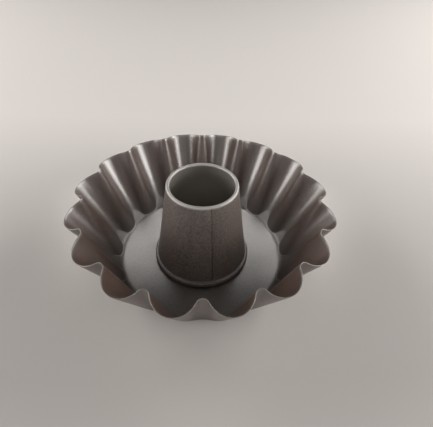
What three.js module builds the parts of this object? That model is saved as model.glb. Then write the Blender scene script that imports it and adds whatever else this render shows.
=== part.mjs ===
// Fluted tube pan in millimetres, +Z up, standing on z = 0 with its axis on Z and a ridge on -Y.
// It is two pressed sheet pieces: a fluted shell and a tapered centre tube, locked by a folded seam.

import * as THREE from 'three';

// Sheet
const SHEET = 0.6; // thickness of both pieces
const SEAM_GAP = 0.3; // clearance between the layers of the folded seam

// Fluted wall, on its inner face
const FLUTES = 16;
const RIM_RADIUS = 109.4; // axis to the middle of a lobe's rim
const RIM_FLUTE_DEPTH = 12.2; // how far a ridge stands in from the lobes at the rim
const RIM_RIDGE_BEND = 4.7; // plan radius of a ridge's crest at the rim
const RIM_HEIGHT = 65.5; // table to the rim on a ridge
const RIM_LOBE_DROP = 6; // the rim lies this much lower in the middle of a lobe
const FLOOR_RADIUS = 73; // corner between the flat floor and the conical foot of the wall
const FOOT_HEIGHT = 10; // floor to where the lobes begin, at the top of the foot
const FOOT_BEND = 5; // inner radius of the bend between floor and foot
const LOBE_FOOT_OUTSET = 2.2; // the lobes point this far outside the floor's corner
const RIDGE_FOOT_INSET = 0.7; // the ridges point this far inside it
const FOOT_RIDGE_BEND = 29; // plan radius of a ridge's crest at the floor

// Centre tube, on its outer face
const TUBE_HEIGHT = 80.5; // table to the top of the curled rim
const TUBE_RIM_RADIUS = 29.2;
const TUBE_CURL = 1.4; // outer radius of the rim's curl
const TUBE_CURL_TURN = 275; // degrees that the curl turns past the horizontal
const TUBE_FOOT_RADIUS = 39.8; // the cone where it meets the band's shoulder
const BAND_STEP = 2.4; // how far the foot's band stands out from the cone
const BAND_HEIGHT = 5; // floor to the top of the band
const SHOULDER_BEND = 1.2; // middle radius of the bend at the top of the band
const ROOT_BEND = 1; // middle radius of the bend from the shoulder into the cone
const LOCK_OVERLAP = 2; // how far the shell's folded edge covers the tube's lip

// Lap seam of the tube: angles in degrees round the axis
const LAP_EDGE_ANGLE = -77; // where the outer layer ends
const LAP_ANGLE = 9; // width of the double layer
const JOGGLE_ANGLE = 12; // over which the outer layer climbs onto the inner one
const LAP_EDGE_WIDTH = 0.3; // angle taken by the cut edge itself
const LAP_END = 2; // height over which the lap dies out at each end of the cone

// Facets
const LOBE_STEPS = 4; // on each half of a lobe
const RIDGE_STEPS = 2; // on each half of a ridge
const WALL_STEPS = 2;
const FOOT_STEPS = 4;
const FOLD_STEPS = 5;
const BEND_STEPS = 2;
const CURL_STEPS = 9;
const ROUND_STEPS = 60; // round the axis
const CREASE_TOLERANCE = 1e-6;

const HALF_PITCH = Math.PI / FLUTES;
const halfSheet = SHEET / 2;

// The folded seam: every layer lies one pitch above the last.
const layerPitch = SHEET + SEAM_GAP;
const floorMiddle = halfSheet;
const lipMiddle = floorMiddle + layerPitch;
const flangeMiddle = lipMiddle + layerPitch;
const bandMiddle = TUBE_FOOT_RADIUS + BAND_STEP - halfSheet;
const flangeTip = bandMiddle - layerPitch;
const foldCentre = flangeTip - LOCK_OVERLAP;
const floorJoin = bandMiddle + layerPitch;

function polar(radius, angle) {
  return new THREE.Vector2(radius * Math.cos(angle), radius * Math.sin(angle));
}

function arc(centre, radius, from, to, steps) {
  return new THREE.EllipseCurve(centre.x, centre.y, radius, radius, from, to, to < from).getPoints(steps);
}

// The round bend that takes the place of a corner between two straight runs of sheet
function bend(before, corner, after, radius) {
  const arriving = corner.clone().sub(before).normalize();
  const leaving = after.clone().sub(corner).normalize();
  const turn = Math.atan2(arriving.cross(leaving), arriving.dot(leaving));
  const leg = radius * Math.tan(Math.abs(turn) / 2);
  const side = Math.sign(turn);
  const start = corner.clone().addScaledVector(arriving, -leg);
  const centre = start.clone().add(new THREE.Vector2(-arriving.y, arriving.x).multiplyScalar(radius * side));
  const from = Math.atan2(start.y - centre.y, start.x - centre.x);
  return arc(centre, radius, from, from + turn, BEND_STEPS);
}

// The line at a distance to the right of an open run of points, mitred at each of them
function offsetLine(points, distance) {
  return points.map((point, i) => {
    const arriving = point.clone().sub(points[Math.max(i - 1, 0)]).normalize();
    const leaving = points[Math.min(i + 1, points.length - 1)].clone().sub(point).normalize();
    const along = arriving.clone().add(leaving).normalize();
    const straight = i === 0 ? leaving : arriving;
    const right = new THREE.Vector2(along.y, -along.x);
    return point.clone().addScaledVector(right, distance / along.dot(straight));
  });
}

// Triangles over a closed loop of rings, which may differ in their number of points
function skin(rings) {
  const positions = rings.flat().flatMap((point) => point.toArray());
  const starts = [];
  let total = 0;
  for (const ring of rings) {
    starts.push(total);
    total += ring.length;
  }
  const triangles = [];
  rings.forEach((ring, k) => {
    const next = (k + 1) % rings.length;
    const here = (i) => starts[k] + (i % ring.length);
    const there = (j) => starts[next] + (j % rings[next].length);
    let i = 0;
    let j = 0;
    while (i < ring.length || j < rings[next].length) {
      if ((i + 1) / ring.length <= (j + 1) / rings[next].length) {
        triangles.push(here(i), here(i + 1), there(j));
        i += 1;
      } else {
        triangles.push(here(i), there(j + 1), there(j));
        j += 1;
      }
    }
  });
  const geometry = new THREE.BufferGeometry();
  geometry.setAttribute('position', new THREE.Float32BufferAttribute(positions, 3));
  geometry.setIndex(triangles);
  geometry.computeVertexNormals();
  return geometry;
}

// Plan radius of the lobes that run smoothly into ridges of the given bend
function lobeBend(radius, depth, ridgeBend) {
  const outer = radius + ridgeBend;
  const inner = radius - depth + ridgeBend;
  const centre = (outer ** 2 - inner ** 2) / (2 * (outer - inner * Math.cos(HALF_PITCH)));
  return radius - centre;
}

// The flutes in plan, from the ridge at angle 0 round to it again: arcs of the lobes and ridges in turn
function fluteOutline(radius, depth, ridgeBend) {
  const lobe = lobeBend(radius, depth, ridgeBend);
  const lobeCentre = new THREE.Vector2(radius - lobe, 0);
  const ridgeCentre = polar(radius - depth + ridgeBend, HALF_PITCH);
  const meeting = ridgeCentre.clone().sub(lobeCentre).angle();
  const halfLobe = arc(lobeCentre, lobe, 0, meeting, LOBE_STEPS);
  const halfRidge = arc(ridgeCentre, ridgeBend, meeting + Math.PI, HALF_PITCH + Math.PI, RIDGE_STEPS);
  const half = [...halfLobe, ...halfRidge.slice(1)];
  const mirrored = half.slice(1).map((point) => new THREE.Vector2(point.x, -point.y)).reverse();
  const flute = [...mirrored, ...half.slice(0, -1)];
  const axis = new THREE.Vector2();
  return Array.from({ length: FLUTES }, (_, k) => {
    const turn = HALF_PITCH * (2 * k + 1);
    return flute.map((point) => point.clone().rotateAround(axis, turn));
  }).flat();
}

// Radius of the shell's conical foot at a height above the floor
function footRadius(height) {
  const lobeFoot = FLOOR_RADIUS + LOBE_FOOT_OUTSET;
  const lobeRise = RIM_HEIGHT - RIM_LOBE_DROP - SHEET;
  const spread = LOBE_FOOT_OUTSET + ((RIM_RADIUS - lobeFoot) * FOOT_HEIGHT) / lobeRise;
  const slope = Math.atan2(FOOT_HEIGHT, spread);
  const bendTop = FOOT_BEND * (1 - Math.cos(slope));
  if (height > bendTop) return FLOOR_RADIUS + height / Math.tan(slope);
  const flatRadius = FLOOR_RADIUS - FOOT_BEND * Math.tan(slope / 2);
  return flatRadius + Math.sqrt(height * (2 * FOOT_BEND - height));
}

// Height above the floor at which a straight line of the wall runs into the conical foot
function creaseHeight(wallRadius) {
  let low = 0;
  let high = FOOT_HEIGHT;
  while (high - low > CREASE_TOLERANCE) {
    const middle = (low + high) / 2;
    if (footRadius(middle) < wallRadius(middle)) low = middle;
    else high = middle;
  }
  return high;
}

// Rings of the shell's inner face, from the edge of the flat floor up the foot and the wall to the rim
function wallRings() {
  const footDepth = LOBE_FOOT_OUTSET + RIDGE_FOOT_INSET;
  const rim = fluteOutline(RIM_RADIUS, RIM_FLUTE_DEPTH, RIM_RIDGE_BEND);
  const feet = fluteOutline(FLOOR_RADIUS + LOBE_FOOT_OUTSET, footDepth, FOOT_RIDGE_BEND);
  const columns = rim.map((point, i) => {
    const fromRidge = (point.length() - (RIM_RADIUS - RIM_FLUTE_DEPTH)) / RIM_FLUTE_DEPTH;
    const rise = RIM_HEIGHT - SHEET - RIM_LOBE_DROP * fromRidge;
    const plan = (height) => feet[i].clone().lerp(point, height / rise);
    const crease = creaseHeight((height) => plan(height).length());
    const bearing = plan(crease).angle();
    const foot = Array.from({ length: FOOT_STEPS }, (_, k) => {
      const height = crease * (k / FOOT_STEPS) ** 2;
      const place = polar(footRadius(height), bearing);
      return new THREE.Vector3(place.x, place.y, SHEET + height);
    });
    const start = new THREE.Vector3(plan(crease).x, plan(crease).y, SHEET + crease);
    const top = new THREE.Vector3(point.x, point.y, SHEET + rise);
    return [...foot, ...new THREE.LineCurve3(start, top).getPoints(WALL_STEPS)];
  });
  return columns[0].map((_, k) => columns.map((column) => column[k]));
}

// The same rings moved through the sheet to its outer face
function throughSheet(rings) {
  const down = new THREE.Vector3(0, 0, -SHEET);
  return rings.map((ring, k) => ring.map((point, i) => {
    if (k === 0) return point.clone().add(down);
    const count = ring.length;
    const round = ring[(i + 1) % count].clone().sub(ring[(i + count - 1) % count]);
    const up = rings[Math.min(k + 1, rings.length - 1)][i].clone().sub(rings[k - 1][i]);
    return point.clone().addScaledVector(round.cross(up).normalize(), SHEET);
  }));
}

// The edge of the floor's hole: it turns up and folds back outward over the tube's lip
function foldRings() {
  const middle = [
    new THREE.Vector2(floorJoin, floorMiddle),
    ...arc(new THREE.Vector2(foldCentre, lipMiddle), layerPitch, 1.5 * Math.PI, 0.5 * Math.PI, FOLD_STEPS),
    new THREE.Vector2(flangeTip, flangeMiddle),
  ];
  const outline = [...offsetLine(middle, halfSheet), ...offsetLine(middle, -halfSheet).reverse()];
  return outline.map((point) => Array.from({ length: ROUND_STEPS }, (_, i) => {
    const place = polar(point.x, (2 * Math.PI * i) / ROUND_STEPS);
    return new THREE.Vector3(place.x, place.y, point.y);
  }));
}

function flutedShell() {
  const inner = wallRings();
  const outer = throughSheet(inner);
  return skin([...outer, ...inner.reverse(), ...foldRings()]);
}

// The tube's sheet in section, along the middle of its thickness, with how far the lap raises each point
function tubeSection() {
  const shoulderMiddle = SHEET + BAND_HEIGHT - halfSheet;
  const bendRoom = BAND_STEP / 2;
  const lipEdge = new THREE.Vector2(foldCentre, lipMiddle);
  const bandFoot = new THREE.Vector2(bandMiddle, lipMiddle);
  const bandTop = new THREE.Vector2(bandMiddle, shoulderMiddle);
  const coneFoot = new THREE.Vector2(TUBE_FOOT_RADIUS - halfSheet, shoulderMiddle);
  const curlCentre = new THREE.Vector2(TUBE_RIM_RADIUS - TUBE_CURL, TUBE_HEIGHT - TUBE_CURL);
  const curlRadius = TUBE_CURL - halfSheet;
  const toCurl = curlCentre.clone().sub(coneFoot);
  const coneAngle = toCurl.angle() - Math.asin(curlRadius / toCurl.length());
  const curlStart = curlCentre.clone().add(polar(curlRadius, coneAngle - Math.PI / 2));
  const curlEnd = THREE.MathUtils.degToRad(TUBE_CURL_TURN);
  const cone = curlStart.clone().sub(coneFoot).normalize();
  const rootLeg = Math.min(ROOT_BEND, bendRoom);
  const flat = [
    lipEdge,
    ...bend(lipEdge, bandFoot, bandTop, layerPitch),
    ...bend(bandFoot, bandTop, coneFoot, Math.min(SHOULDER_BEND, bendRoom)),
    ...bend(bandTop, coneFoot, curlStart, rootLeg),
  ];
  const raised = [
    coneFoot.clone().addScaledVector(cone, rootLeg + LAP_END),
    curlStart.clone().addScaledVector(cone, -LAP_END),
  ];
  const curl = arc(curlCentre, curlRadius, coneAngle - Math.PI / 2, curlEnd, CURL_STEPS);
  const middle = [...flat, ...raised, ...curl];
  const lap = middle.map((point) => (raised.includes(point) ? SHEET : 0));
  return { middle, lap };
}

// Columns round the tube, each with the share of a sheet's thickness by which its two faces are raised
function lapColumns() {
  const edge = THREE.MathUtils.degToRad(LAP_EDGE_ANGLE);
  const lap = THREE.MathUtils.degToRad(LAP_ANGLE);
  const joggle = THREE.MathUtils.degToRad(JOGGLE_ANGLE);
  const cut = THREE.MathUtils.degToRad(LAP_EDGE_WIDTH);
  const plain = 2 * Math.PI - lap - joggle - cut;
  const columns = Array.from({ length: ROUND_STEPS }, (_, i) => (
    { angle: edge + cut + (plain * i) / (ROUND_STEPS - 1), outer: 0, inner: 0 }
  ));
  columns.push({ angle: edge - lap - joggle / 2, outer: 0.5, inner: 0.5 });
  columns.push({ angle: edge - lap - cut, outer: 1, inner: 1 });
  columns.push({ angle: edge - lap, outer: 1, inner: 0 });
  columns.push({ angle: edge, outer: 1, inner: 0 });
  return columns;
}

function centreTube() {
  const { middle, lap } = tubeSection();
  const columns = lapColumns();
  const ring = (point, rise, face) => columns.map((column) => {
    const place = polar(point.x + rise * column[face], column.angle);
    return new THREE.Vector3(place.x, place.y, point.y);
  });
  const outer = offsetLine(middle, halfSheet).map((point, k) => ring(point, lap[k], 'outer'));
  const inner = offsetLine(middle, -halfSheet).map((point, k) => ring(point, lap[k], 'inner'));
  return skin([...outer, ...inner.reverse()]);
}

const shellCoat = new THREE.MeshStandardMaterial({ color: 0x4c4644, roughness: 0.4, metalness: 0.6 });
const tubeCoat = new THREE.MeshStandardMaterial({ color: 0x4f4946, roughness: 0.45, metalness: 0.6 });

const shell = new THREE.Mesh(flutedShell(), shellCoat);
shell.name = 'fluted_shell';

const tube = new THREE.Mesh(centreTube(), tubeCoat);
tube.name = 'centre_tube';

const pan = new THREE.Group();
pan.name = 'fluted_tube_pan';
pan.add(shell, tube);

export default pan;
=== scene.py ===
# Looks of the fluted tube pan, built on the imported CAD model.
# Metres in the CAD frame: +Z up, standing on z = 0, with a ridge of the flutes on -Y.

import math

import bpy
import numpy as np
from mathutils import Matrix, Vector


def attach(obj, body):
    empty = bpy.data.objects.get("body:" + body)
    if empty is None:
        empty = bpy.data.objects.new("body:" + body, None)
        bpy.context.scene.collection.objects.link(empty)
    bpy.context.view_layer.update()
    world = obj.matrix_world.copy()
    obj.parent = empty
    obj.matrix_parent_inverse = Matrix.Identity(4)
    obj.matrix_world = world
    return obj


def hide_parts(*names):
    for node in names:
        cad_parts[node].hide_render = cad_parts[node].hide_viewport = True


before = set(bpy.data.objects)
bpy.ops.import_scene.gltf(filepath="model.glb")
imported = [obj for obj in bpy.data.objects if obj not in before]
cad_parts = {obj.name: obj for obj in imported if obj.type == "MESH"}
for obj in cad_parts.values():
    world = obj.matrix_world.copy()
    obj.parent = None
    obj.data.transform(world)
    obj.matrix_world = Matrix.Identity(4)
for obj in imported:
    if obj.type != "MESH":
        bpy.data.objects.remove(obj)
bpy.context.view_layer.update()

MILLIMETRE = 0.001

# Sizes of the CAD model, in millimetres and degrees
SHEET = 0.6
SEAM_GAP = 0.3
FLUTES = 16
RIM_RADIUS = 109.4
RIM_FLUTE_DEPTH = 12.2
RIM_RIDGE_BEND = 4.7
RIM_HEIGHT = 65.5
RIM_LOBE_DROP = 6
FLOOR_RADIUS = 73
FOOT_HEIGHT = 10
FOOT_BEND = 5
LOBE_FOOT_OUTSET = 2.2
RIDGE_FOOT_INSET = 0.7
FOOT_RIDGE_BEND = 29
TUBE_HEIGHT = 80.5
TUBE_RIM_RADIUS = 29.2
TUBE_CURL = 1.4
TUBE_CURL_TURN = 275
TUBE_FOOT_RADIUS = 39.8
BAND_STEP = 2.4
BAND_HEIGHT = 5
SHOULDER_BEND = 1.2
ROOT_BEND = 1
LOCK_OVERLAP = 2
LAP_EDGE_ANGLE = -77
LAP_ANGLE = 9
JOGGLE_ANGLE = 12
LAP_EDGE_WIDTH = 0.3

# Finer forms than the solids have, in millimetres
CREASE_REACH = 3.2  # over which the wall's creases are rounded
SAMPLE_STEP = 0.1  # between the samples that the rounding averages
FLOOR_START = 63  # radius from which each column of the shell follows its flute
HEM_REACH = 2  # flat floor beyond the lock seam that belongs to the shell's hem
LAP_FADE = 12  # height over which the lap dies out at each end of the cone

# Fineness of the meshes
LOBE_STEPS = 12  # in half a lobe
RIDGE_STEPS = 9  # in half a ridge
FOOT_RINGS = 20  # from the floor up to the crease between foot and wall
FOOT_EASE = 1.7  # gathers the foot's rings towards the crease
WALL_RINGS = 33  # from the crease up to the rim
WALL_EASE = 1.5  # gathers the wall's rings towards the crease
FOOT_SAMPLES = 50
HALVINGS = 40  # steps of the search for the crease
RIM_EDGE_STEPS = 6
FOLD_STEPS = 16
BEND_STEPS = 8
CONE_STEPS = 59
CURL_STEPS = 36
PLAIN_COLUMNS = 320  # round the tube beside the lap
CLIMB_STEPS = 13  # up the joggle of the lap
LAP_COLUMNS = 8

# Marks on the pieces
TOE_START = 0.45  # share of the flute's depth up to which the painted highlight at a ridge's toe is whole
TOE_FADE = 0.45  # share over which it dies out
HIGHLIT_RINGS_ABOVE = 1  # rings above the crease that carry the painted highlight
HIGHLIT_RINGS_BELOW = 3  # rings from the crease down that carry the painted highlight
SEAM_SHADE = 0.5

# Colours of the coat, as darker and lighter spots where there are two
SHELL_DRAWN = ((0.052, 0.028, 0.0195, 1), (0.096, 0.0555, 0.04, 1))
SHELL_DENSE = ((0.003, 0.002, 0.0015, 1), (0.06, 0.036, 0.027, 1))
SHELL_WORN = (0.1, 0.085, 0.075, 1)
TUBE_SPOTS = ((0.025, 0.0185, 0.015, 1), (0.156, 0.113, 0.093, 1))
# painted highlight: the tube's whole curl is coloured light grey, standing in for the bright reflections
# round its rim
TUBE_CURL_HIGHLIGHT = (0.42, 0.4, 0.38, 1)
# painted highlight: a light line round the foot of each ridge's toe, standing in for the catch-light on the
# crease
TOE_HIGHLIGHT = (0.3, 0.27, 0.25, 1)
# painted light: the tube's bore is coloured much lighter than its outside, standing in for light that
# hardly reaches into it
TUBE_BORE_PAINTED_LIGHT = (0.26, 0.24, 0.214, 1)
# painted shade: a near-black line along the lap's edge, standing in for the shade in the crevice there
PAINTED_SEAM_SHADE = (0.004, 0.003, 0.003, 1)

# Texture of the coat; each noise is its scale, detail and roughness
SPECKLE = (700, 2, 0.6)
MOTTLE = (260, 3, 0.6)
CLOUD = (28, 4, 0.55)
SPECKLE_RANGE = (0.35, 0.65)
CLOUD_RANGE = (0.3, 0.7)
SHELL_GLOSS = (0.3, 0.35)  # roughness of the smoother and the rougher clouds
TUBE_GLOSS = (0.42, 0.48)
PITTING = (0.11, 0.17)  # roughness that the undrawn metal's coat adds, by its spots
UNDRAWN_HEIGHTS = (0.006, 0.03)  # metres over which the undrawn metal's coat gives way to the wall's
COAT_IOR = 2.5

# Floor, in metres
FLOOR_REACH = 1.25
FLOOR_POINTS = 96
# painted light: the floor is darker in front and paler towards the back, standing in for light that comes
# from behind
FLOOR_NEAR_SHADED = (0.55, 0.529, 0.511, 1)
FLOOR_FAR_LIT = (0.9, 0.866, 0.842, 1)
FLOOR_DEPTHS = (-0.12, 0.25)  # between which the painted shade in front gives way to the paler painted light at the back
FLOOR_ROUGHNESS = 0.7

# Light
ROOM_COLOUR = (1, 0.965, 0.935, 1)
HORIZON_RISE = (0.2, 0.34)  # rise of a direction between which the horizon fades into the dim room
HORIZON_STRENGTH = 0.56
ROOM_STRENGTH = 0.03
LAMP_COLOUR = (1, 0.965, 0.93)
LEFT_SHARE = 0.92
RIGHT_SHARE = 1.2
WIDE_SPREAD = 180
CENTRE = (0, 0, 0)

# Camera, fitted to the picture
IMAGE_WIDTH = 433
FOCAL_PIXELS = 383.8
SENSOR_MILLIMETRES = 36
CAMERA_DISTANCE = 0.3144
CAMERA_ELEVATION = 42.74
CAMERA_AZIMUTH = -3.46
CAMERA_ROLL = 2.58
CAMERA_ASIDE = 0.0116
CAMERA_RAISE = -0.0126

HALF_PITCH = math.pi / FLUTES
HALF_SHEET = SHEET / 2
LAYER_PITCH = SHEET + SEAM_GAP
LIP_MIDDLE = HALF_SHEET + LAYER_PITCH
FLANGE_MIDDLE = LIP_MIDDLE + LAYER_PITCH
BAND_MIDDLE = TUBE_FOOT_RADIUS + BAND_STEP - HALF_SHEET
FLANGE_TIP = BAND_MIDDLE - LAYER_PITCH
FOLD_CENTRE = FLANGE_TIP - LOCK_OVERLAP
FLOOR_JOIN = BAND_MIDDLE + LAYER_PITCH


def arc(centre, radius, start, end, steps):
    angles = np.linspace(start, end, steps + 1)
    return np.array(centre) + radius * np.column_stack([np.cos(angles), np.sin(angles)])


def unit(vectors):
    return vectors / np.linalg.norm(vectors, axis=-1, keepdims=True)


def smooth_step(values):
    values = np.clip(values, 0, 1)
    return values**2 * (3 - 2 * values)


def bend(before, corner, after, radius):
    """The round bend that takes the place of a corner between two straight runs of sheet."""
    arriving = unit(corner - before)
    leaving = unit(after - corner)
    turn = math.atan2(arriving[0] * leaving[1] - arriving[1] * leaving[0], arriving @ leaving)
    start = corner - arriving * radius * math.tan(abs(turn) / 2)
    centre = start + np.array([-arriving[1], arriving[0]]) * math.copysign(radius, turn)
    angle = math.atan2(start[1] - centre[1], start[0] - centre[0])
    return arc(centre, radius, angle, angle + turn, BEND_STEPS)


def offset_line(points, distance):
    """The line at a distance to the right of an open run of points."""
    along = unit(np.gradient(points, axis=0))
    return points + distance * np.column_stack([along[:, 1], -along[:, 0]])


def flute_outline(radius, depth, ridge_bend):
    """The flutes in plan: arcs of the lobes and ridges in turn, from the ridge at angle 0."""
    outer = radius + ridge_bend
    inner = radius - depth + ridge_bend
    centre = (outer**2 - inner**2) / (2 * (outer - inner * math.cos(HALF_PITCH)))
    ridge_centre = inner * np.array([math.cos(HALF_PITCH), math.sin(HALF_PITCH)])
    meeting = math.atan2(ridge_centre[1], ridge_centre[0] - centre)
    half_lobe = arc((centre, 0), radius - centre, 0, meeting, LOBE_STEPS)
    half_ridge = arc(ridge_centre, ridge_bend, meeting + math.pi, HALF_PITCH + math.pi, RIDGE_STEPS)
    half = np.vstack([half_lobe, half_ridge[1:]])
    flute = np.vstack([half[:0:-1] * [1, -1], half[:-1]])
    turns = HALF_PITCH * (2 * np.arange(FLUTES) + 1)
    turned = [flute @ [[math.cos(t), math.sin(t)], [-math.sin(t), math.cos(t)]] for t in turns]
    return np.vstack(turned)


def foot_radius(height):
    """Radius of the shell's conical foot at heights above the floor."""
    lobe_rise = RIM_HEIGHT - RIM_LOBE_DROP - SHEET
    lobe_run = RIM_RADIUS - FLOOR_RADIUS - LOBE_FOOT_OUTSET
    slope = math.atan2(FOOT_HEIGHT, LOBE_FOOT_OUTSET + lobe_run * FOOT_HEIGHT / lobe_rise)
    flat_radius = FLOOR_RADIUS - FOOT_BEND * math.tan(slope / 2)
    bent = flat_radius + np.sqrt(np.clip(height * (2 * FOOT_BEND - height), 0, None))
    straight = FLOOR_RADIUS + height / math.tan(slope)
    return np.where(height > FOOT_BEND * (1 - math.cos(slope)), straight, bent)


def softened(run, places):
    """Points at given lengths along a run whose corners are rounded by averaging over a short reach."""
    reach = 2 * CREASE_REACH
    before = run[0] - unit(run[1] - run[0]) * reach
    beyond = run[-1] + unit(run[-1] - run[-2]) * reach
    run = np.vstack([before, run, beyond])
    lengths = np.concatenate([[0], np.cumsum(np.linalg.norm(np.diff(run, axis=0), axis=1))]) - reach
    samples = np.arange(-reach, lengths[-1], SAMPLE_STEP)
    kernel = np.hanning(2 * round(CREASE_REACH / SAMPLE_STEP) + 1)
    kernel /= kernel.sum()
    columns = []
    for axis in range(3):
        even = np.convolve(np.interp(samples, lengths, run[:, axis]), kernel, "same")
        columns.append(np.interp(places, samples, even))
    return np.column_stack(columns)


def wall_rings():
    """Rings of the shell's inner face, floor to rim, and each column's share in the painted highlight at a
    ridge's toe.
    """
    rim = flute_outline(RIM_RADIUS, RIM_FLUTE_DEPTH, RIM_RIDGE_BEND)
    foot_depth = LOBE_FOOT_OUTSET + RIDGE_FOOT_INSET
    feet = flute_outline(FLOOR_RADIUS + LOBE_FOOT_OUTSET, foot_depth, FOOT_RIDGE_BEND)
    from_ridge = (np.linalg.norm(rim, axis=1) - RIM_RADIUS) / RIM_FLUTE_DEPTH + 1
    rise = RIM_HEIGHT - SHEET - RIM_LOBE_DROP * from_ridge
    low = np.zeros(len(rim))
    high = np.full(len(rim), float(FOOT_HEIGHT))
    for _ in range(HALVINGS):
        middle = (low + high) / 2
        plan = feet + (rim - feet) * (middle / rise)[:, None]
        in_foot = foot_radius(middle) < np.linalg.norm(plan, axis=1)
        low = np.where(in_foot, middle, low)
        high = np.where(in_foot, high, middle)
    foot_places = 1 - (1 - np.linspace(0, 1, FOOT_RINGS)) ** FOOT_EASE
    wall_places = np.linspace(0, 1, WALL_RINGS + 1)[1:] ** WALL_EASE
    columns = []
    for start, end, crease, top in zip(feet, rim, high, rise):
        joint = start + (end - start) * crease / top
        heights = crease * np.linspace(0, 1, FOOT_SAMPLES) ** 2
        radii = np.concatenate([[FLOOR_START], foot_radius(heights)])
        levels = np.concatenate([[0], heights])
        foot = np.column_stack([np.outer(radii, unit(joint)), levels])
        run = np.vstack([foot, [*end, top]]) + [0, 0, SHEET]
        foot_length = np.linalg.norm(np.diff(run[:-1], axis=0), axis=1).sum()
        wall_length = np.linalg.norm(run[-1] - run[-2])
        places = np.concatenate([foot_length * foot_places, foot_length + wall_length * wall_places])
        columns.append(softened(run, places))
    # each column's share in the painted highlight at a ridge's toe
    toe = 1 - smooth_step((from_ridge - TOE_START) / TOE_FADE)
    return np.swapaxes(np.array(columns), 0, 1), toe


def sheet_normals(rings):
    """Unit normals of a field of rings, on the side away from the pan's inside."""
    around = np.roll(rings, -1, axis=1) - np.roll(rings, 1, axis=1)
    along = np.gradient(rings, axis=0)
    return unit(np.cross(around, along))


def hem_section():
    """The floor's inner edge in section, folded back outward, as a line round both of its faces."""
    fold = arc((FOLD_CENTRE, LIP_MIDDLE), LAYER_PITCH, 1.5 * math.pi, 0.5 * math.pi, FOLD_STEPS)
    run = np.vstack([
        [FLOOR_JOIN + HEM_REACH, HALF_SHEET],
        [FLOOR_JOIN, HALF_SHEET],
        fold,
        [FLANGE_TIP, FLANGE_MIDDLE],
    ])
    return np.vstack([offset_line(run, HALF_SHEET), offset_line(run, -HALF_SHEET)[::-1]])


def shell_rings():
    """The whole shell as a closed loop of rings, with its rim's wear and the painted highlight at the
    ridges' toes.
    """
    inner, toe = wall_rings()
    normals = sheet_normals(inner)
    outer = inner + SHEET * normals
    up = unit(inner[-1] - inner[-2])
    middle = (inner[-1] + outer[-1]) / 2 - up * HALF_SHEET
    inner[-1] -= up * HALF_SHEET
    outer[-1] -= up * HALF_SHEET
    angles = np.linspace(0, math.pi, RIM_EDGE_STEPS + 1)[1:-1]
    edge = [middle + HALF_SHEET * (math.cos(a) * normals[-1] + math.sin(a) * up) for a in angles]
    wall = np.concatenate([outer, edge, inner[::-1]])
    bearing = unit(inner[0, :, :2])
    level = np.ones(len(bearing))
    hem = [np.column_stack([radius * bearing, height * level]) for radius, height in hem_section()]
    edge_wear_and_highlight = np.zeros(len(wall) + len(hem))
    edge_wear_and_highlight[len(outer) - 1:len(outer) + len(edge) + 1] = 1
    crease = len(wall) - FOOT_RINGS
    painted_toe_highlight = np.zeros((len(wall) + len(hem), len(bearing)))
    # the painted highlight round the ridges' toes
    painted_toe_highlight[crease - HIGHLIT_RINGS_ABOVE:crease + HIGHLIT_RINGS_BELOW] = toe
    return np.concatenate([wall, hem]), {"edge_wear_and_highlight": np.repeat(edge_wear_and_highlight, len(bearing)), "painted_toe_highlight": painted_toe_highlight}


def tube_run():
    """The tube's sheet in section along its middle, with the rise of the lap and the share in the painted
    highlight on the curl at each point.
    """
    shoulder = SHEET + BAND_HEIGHT - HALF_SHEET
    lip_edge = np.array([FOLD_CENTRE, LIP_MIDDLE])
    band_foot = np.array([BAND_MIDDLE, LIP_MIDDLE])
    band_top = np.array([BAND_MIDDLE, shoulder])
    cone_foot = np.array([TUBE_FOOT_RADIUS - HALF_SHEET, shoulder])
    curl_centre = np.array([TUBE_RIM_RADIUS - TUBE_CURL, TUBE_HEIGHT - TUBE_CURL])
    curl_radius = TUBE_CURL - HALF_SHEET
    to_curl = curl_centre - cone_foot
    tilt = math.asin(curl_radius / np.linalg.norm(to_curl))
    cone_angle = math.atan2(to_curl[1], to_curl[0]) - tilt
    curl_start = curl_centre + curl_radius * np.array([math.sin(cone_angle), -math.cos(cone_angle)])
    root = bend(band_top, cone_foot, curl_start, ROOT_BEND)
    flat = np.vstack([
        [lip_edge],
        bend(lip_edge, band_foot, band_top, LAYER_PITCH),
        bend(band_foot, band_top, cone_foot, SHOULDER_BEND),
        root,
    ])
    cone_length = np.linalg.norm(curl_start - root[-1])
    places = np.linspace(0, cone_length, CONE_STEPS + 1)[1:-1]
    cone = root[-1] + np.outer(places / cone_length, curl_start - root[-1])
    curl_end = math.radians(TUBE_CURL_TURN)
    curl = arc(curl_centre, curl_radius, cone_angle - math.pi / 2, curl_end, CURL_STEPS)
    lift = smooth_step(np.minimum(places, cone_length - places) / LAP_FADE)
    lifts = np.concatenate([np.zeros(len(flat)), lift, np.zeros(len(curl))])
    # the curl carries the painted highlight
    edge_wear_and_highlight = np.concatenate([np.zeros(len(flat) + len(cone)), np.ones(len(curl))])
    return np.vstack([flat, cone, curl]), lifts, edge_wear_and_highlight


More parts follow.
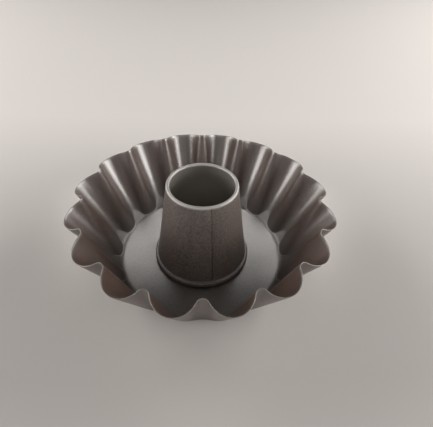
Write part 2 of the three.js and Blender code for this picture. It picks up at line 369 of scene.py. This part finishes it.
def lap_columns():
    """Angles round the tube, the share of a sheet by which the lap lifts its two faces, and the painted
    shade at its edge.
    """
    edge = math.radians(LAP_EDGE_ANGLE)
    lap = math.radians(LAP_ANGLE)
    joggle = math.radians(JOGGLE_ANGLE)
    cut = math.radians(LAP_EDGE_WIDTH)
    plain = np.linspace(edge + cut, edge + 2 * math.pi - lap - joggle, PLAIN_COLUMNS)
    climb = np.linspace(0, 1, CLIMB_STEPS + 1)[1:-1]
    climb_angles = edge + 2 * math.pi - lap - joggle + climb * (joggle - cut)
    double = edge + 2 * math.pi - lap * np.linspace(1, 0, LAP_COLUMNS)
    angles = np.concatenate([plain, climb_angles, [edge + 2 * math.pi - lap - cut], double])
    zeros = np.zeros(len(plain))
    climbing = np.concatenate([smooth_step(climb), [1]])
    outer = np.concatenate([zeros, climbing, np.ones(len(double))])
    inner = np.concatenate([zeros, climbing, np.zeros(len(double))])
    seam = np.zeros(len(angles))
    # painted shade at the lap's edge
    seam[[0, -1]] = SEAM_SHADE
    return angles, outer, inner, seam


def tube_rings():
    """The whole tube as a closed loop of rings, with its seam's painted shade, its inside's painted light
    and the painted highlight on its curl.
    """
    run, lifts, edge_wear_and_highlight = tube_run()
    angles, outer_share, inner_share, seam = lap_columns()
    rings = []
    for side, share in ((1, outer_share), (-1, inner_share)):
        line = offset_line(run, side * HALF_SHEET)
        radii = line[:, :1] + SHEET * np.outer(lifts, share)
        heights = np.repeat(line[:, 1:], len(angles), axis=1)
        rings.append(np.stack([radii * np.cos(angles), radii * np.sin(angles), heights], axis=-1))
    on_cone = np.concatenate([lifts > 0, np.zeros(len(run))])
    marks = {
        "seam": np.outer(on_cone, seam),
        # the inner face carries the bore's painted light
        "inside": np.repeat([0, 1], len(run) * len(angles)),
        "edge_wear_and_highlight": np.repeat(np.concatenate([edge_wear_and_highlight, edge_wear_and_highlight[::-1]]), len(angles)),
    }
    return np.concatenate([rings[0], rings[1][::-1]]), marks


def make_piece(name, rings, marks):
    """A closed sheet piece over a loop of rings of points given in millimetres, with its named marks."""
    count, columns = rings.shape[:2]
    index = np.arange(count * columns).reshape(count, columns)
    onward = np.roll(index, -1, axis=0)
    corners = [index, np.roll(index, -1, axis=1), np.roll(onward, -1, axis=1), onward]
    faces = np.stack(corners, axis=-1).reshape(-1, 4)
    mesh = bpy.data.meshes.new(name)
    mesh.from_pydata((rings.reshape(-1, 3) * MILLIMETRE).tolist(), [], faces.tolist())
    mesh.shade_smooth()
    for mark, values in marks.items():
        attribute = mesh.attributes.new(mark, "FLOAT", "POINT")
        attribute.data.foreach_set("value", values.ravel().astype(np.float32))
    piece = bpy.data.objects.new(name, mesh)
    bpy.context.scene.collection.objects.link(piece)
    return piece


class Nodes:
    """Short calls for building a node tree."""

    def __init__(self, tree):
        self.tree = tree

    def add(self, kind, inputs=None, **settings):
        node = self.tree.nodes.new(kind)
        for name, value in settings.items():
            setattr(node, name, value)
        for name, value in (inputs or {}).items():
            self.feed(node.inputs[name], value)
        return node

    def feed(self, socket, value):
        if isinstance(value, bpy.types.NodeSocket):
            self.tree.links.new(value, socket)
        else:
            socket.default_value = value

    def noise(self, place, scale, detail, roughness):
        settings = {"Vector": place, "Scale": scale, "Detail": detail, "Roughness": roughness}
        return self.add("ShaderNodeTexNoise", settings).outputs["Fac"]

    def spread(self, value, low, high, to_low, to_high):
        inputs = {"Value": value, "From Min": low, "From Max": high, "To Min": to_low, "To Max": to_high}
        return self.add("ShaderNodeMapRange", inputs).outputs["Result"]

    def combine(self, operation, first, second):
        return self.add("ShaderNodeMath", {0: first, 1: second}, operation=operation).outputs["Value"]

    def blend(self, share, first, second):
        inputs = {0: share, 6: first, 7: second}
        return self.add("ShaderNodeMix", inputs, data_type="RGBA").outputs[2]

    def mark(self, name):
        return self.add("ShaderNodeAttribute", attribute_name=name).outputs["Fac"]


def coat_material(name, drawn, dense, wear_and_highlight_colour, roughness):
    """Satin non-stick coat on steel: brown-grey, finely speckled, denser and rougher on the undrawn metal
    low down, with thin worn edges on the shell's rim, a painted highlight over the tube's curl and at the
    ridges' toes, painted light in the tube's bore and painted shade along the seam."""
    material = bpy.data.materials.new(name)
    material.use_nodes = True
    tree = material.node_tree
    nodes = Nodes(tree)
    shader = tree.nodes["Principled BSDF"]
    place = nodes.add("ShaderNodeTexCoord").outputs["Object"]
    speckle = nodes.noise(place, *SPECKLE)
    mottle = nodes.noise(place, *MOTTLE)
    cloud = nodes.noise(place, *CLOUD)
    spots = nodes.spread(speckle, *SPECKLE_RANGE, 0, 1)
    height = nodes.add("ShaderNodeSeparateXYZ", {"Vector": place}).outputs["Z"]
    undrawn = nodes.spread(height, *UNDRAWN_HEIGHTS, 1, 0)
    colour = nodes.blend(undrawn, nodes.blend(spots, *drawn), nodes.blend(spots, *dense))
    # thin worn edges on the shell's rim; on the tube, a painted highlight over the whole curl
    colour = nodes.blend(nodes.mark("edge_wear_and_highlight"), colour, wear_and_highlight_colour)
    # painted highlight round the ridges' toes
    colour = nodes.blend(nodes.mark("painted_toe_highlight"), colour, TOE_HIGHLIGHT)
    # painted light over the tube's inner face
    colour = nodes.blend(nodes.mark("inside"), colour, TUBE_BORE_PAINTED_LIGHT)
    # painted shade along the lap's edge
    seam = nodes.mark("seam")
    colour = nodes.blend(seam, colour, PAINTED_SEAM_SHADE)
    tree.links.new(colour, shader.inputs["Base Color"])
    gloss = nodes.spread(cloud, *CLOUD_RANGE, *roughness)
    pitting = nodes.combine("MULTIPLY", undrawn, nodes.spread(speckle, *SPECKLE_RANGE, *PITTING))
    tree.links.new(nodes.combine("ADD", gloss, pitting), shader.inputs["Roughness"])
    # the seam's painted shade is metallic too, so it reflects only its near-black colour
    tree.links.new(seam, shader.inputs["Metallic"])
    shader.inputs["IOR"].default_value = COAT_IOR
    grain = nodes.add("ShaderNodeBump", {"Height": speckle, "Strength": 0.1, "Distance": 0.0002})
    grain = nodes.add("ShaderNodeBump", {"Height": mottle, "Strength": 0.015, "Distance": 0.0004,
                                         "Normal": grain.outputs["Normal"]})
    tree.links.new(grain.outputs["Normal"], shader.inputs["Normal"])
    return material


def floor_material():
    """A pale matt floor whose colour is paler towards the back: painted light, standing in for light that
    comes from behind.
    """
    material = bpy.data.materials.new("pale_floor")
    material.use_nodes = True
    tree = material.node_tree
    nodes = Nodes(tree)
    shader = tree.nodes["Principled BSDF"]
    place = nodes.add("ShaderNodeTexCoord").outputs["Object"]
    depth = nodes.add("ShaderNodeSeparateXYZ", {"Vector": place}).outputs["Y"]
    far = nodes.spread(depth, *FLOOR_DEPTHS, 0, 1)
    # painted shade in front giving way to painted light at the back
    tree.links.new(nodes.blend(far, FLOOR_NEAR_SHADED, FLOOR_FAR_LIT), shader.inputs["Base Color"])
    shader.inputs["Roughness"].default_value = FLOOR_ROUGHNESS
    return material


def make_floor():
    mesh = bpy.data.meshes.new("floor")
    angles = np.linspace(0, 2 * math.pi, FLOOR_POINTS, endpoint=False)
    edge = [(FLOOR_REACH * math.cos(angle), FLOOR_REACH * math.sin(angle), 0) for angle in angles]
    mesh.from_pydata(edge, [], [tuple(range(len(edge)))])
    mesh.materials.append(floor_material())
    floor = bpy.data.objects.new("floor", mesh)
    bpy.context.scene.collection.objects.link(floor)


def make_room():
    """A dim room with a pale horizon."""
    world = bpy.data.worlds.new("room")
    world.use_nodes = True
    tree = world.node_tree
    nodes = Nodes(tree)
    background = tree.nodes["Background"]
    background.inputs["Color"].default_value = ROOM_COLOUR
    direction = nodes.add("ShaderNodeTexCoord").outputs["Generated"]
    rise = nodes.add("ShaderNodeSeparateXYZ", {"Vector": direction}).outputs["Z"]
    strength = nodes.spread(rise, *HORIZON_RISE, HORIZON_STRENGTH, ROOM_STRENGTH)
    tree.links.new(strength, background.inputs["Strength"])
    bpy.context.scene.world = world


def soft_lamp(name, place, size, power, target=CENTRE, spread=WIDE_SPREAD):
    """A rectangular soft light that faces a point."""
    lamp = bpy.data.lights.new(name, "AREA")
    lamp.shape = "RECTANGLE"
    lamp.size = size[0]
    lamp.size_y = size[1]
    lamp.energy = power
    lamp.spread = math.radians(spread)
    lamp.color = LAMP_COLOUR
    holder = bpy.data.objects.new(name, lamp)
    holder.location = place
    holder.visible_camera = False
    holder.rotation_euler = (Vector(target) - Vector(place)).to_track_quat("-Z", "Y").to_euler()
    bpy.context.scene.collection.objects.link(holder)


def make_light():
    """Wide soft lights on both sides and in front, and a small one over each side of the pan's floor."""
    make_room()
    for side, share in ((-1, LEFT_SHARE), (1, RIGHT_SHARE)):
        soft_lamp("side_light", place=(1.378 * side, 0.084, 0.586), size=(2.4, 0.8), power=13.2 * share)
        soft_lamp("low_side_light", place=(1.397 * side, -0.246, 0.488), size=(1.21, 0.26), power=4 * share)
        soft_lamp("far_side_light", place=(1.09 * side, 0.63, 0.82), size=(0.65, 0.34), power=3.6)
        soft_lamp("floor_light", place=(0.09 * side, 0.15, 0.2), size=(0.13, 0.09), power=0.0195,
                  target=(0.06 * side, 0.049, 0), spread=31)
    soft_lamp("front_light", place=(0, -1.08, 1.04), size=(1.8, 0.4), power=3.4)


def make_camera():
    elevation = math.radians(CAMERA_ELEVATION)
    forward = Vector((0, math.cos(elevation), -math.sin(elevation)))
    level = Vector((1, 0, 0))
    upright = level.cross(forward)
    roll = math.radians(CAMERA_ROLL)
    right = level * math.cos(roll) + upright * math.sin(roll)
    up = upright * math.cos(roll) - level * math.sin(roll)
    place = right * CAMERA_ASIDE + up * CAMERA_RAISE - forward * CAMERA_DISTANCE
    stance = Matrix((right, up, -forward)).transposed().to_4x4()
    stance.translation = place
    turn = Matrix.Rotation(math.radians(CAMERA_AZIMUTH), 4, "Z")
    lift = Matrix.Translation((0, 0, RIM_HEIGHT * MILLIMETRE))
    lens = bpy.data.cameras.new("camera")
    lens.sensor_width = SENSOR_MILLIMETRES
    lens.lens = SENSOR_MILLIMETRES * FOCAL_PIXELS / IMAGE_WIDTH
    lens.clip_start = 0.01
    camera = bpy.data.objects.new("camera", lens)
    camera.matrix_world = lift @ turn @ stance
    bpy.context.scene.collection.objects.link(camera)
    bpy.context.scene.camera = camera


def dress(name, node, slot, rings, marks, material):
    """A fine sheet piece in the place of a CAD node."""
    piece = make_piece(name, rings, marks)
    piece.data.materials.append(material)
    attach(piece, "root")
    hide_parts(node)


shell_coat = coat_material("shell_coat", SHELL_DRAWN, SHELL_DENSE, SHELL_WORN, SHELL_GLOSS)
tube_coat = coat_material("tube_coat", TUBE_SPOTS, TUBE_SPOTS, TUBE_CURL_HIGHLIGHT, TUBE_GLOSS)
dress("shell_sheet", "fluted_shell", "shell_coating", *shell_rings(), shell_coat)
dress("tube_sheet", "centre_tube", "tube_coating", *tube_rings(), tube_coat)
make_floor()
make_light()
make_camera()
bpy.context.scene.view_settings.view_transform = "Standard"
